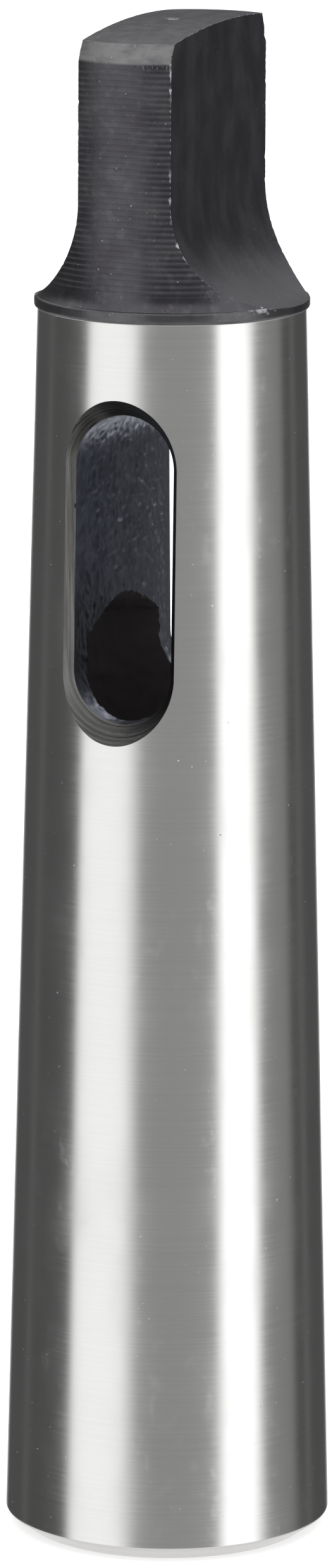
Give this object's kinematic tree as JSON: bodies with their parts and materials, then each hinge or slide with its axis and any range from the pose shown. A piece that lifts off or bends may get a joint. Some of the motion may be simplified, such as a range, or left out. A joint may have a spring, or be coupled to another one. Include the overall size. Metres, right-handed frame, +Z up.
{
  "type": "morse taper sleeve",
  "caption": "Reducing sleeve for machine spindles: tapered shank with a flatted tang outside, smaller taper socket inside, drift slot across the middle.",
  "frame": {"origin": "middle of the large end face, on the axis; the sleeve stands on that face", "axes": "+Z up the axis from the large end to the tang; the drift slot opens along Y; the tang's flats face +X and -X"},
  "size_m": [0.0244, 0.0244, 0.1138],
  "materials": {
    "tool_steel": "hardened steel, taper ground bright, tang and rim black oxide, slot rough milled"
  },
  "bodies": {
    "root": {"taper_sleeve": "tool_steel"}
  },
  "joints": []
}
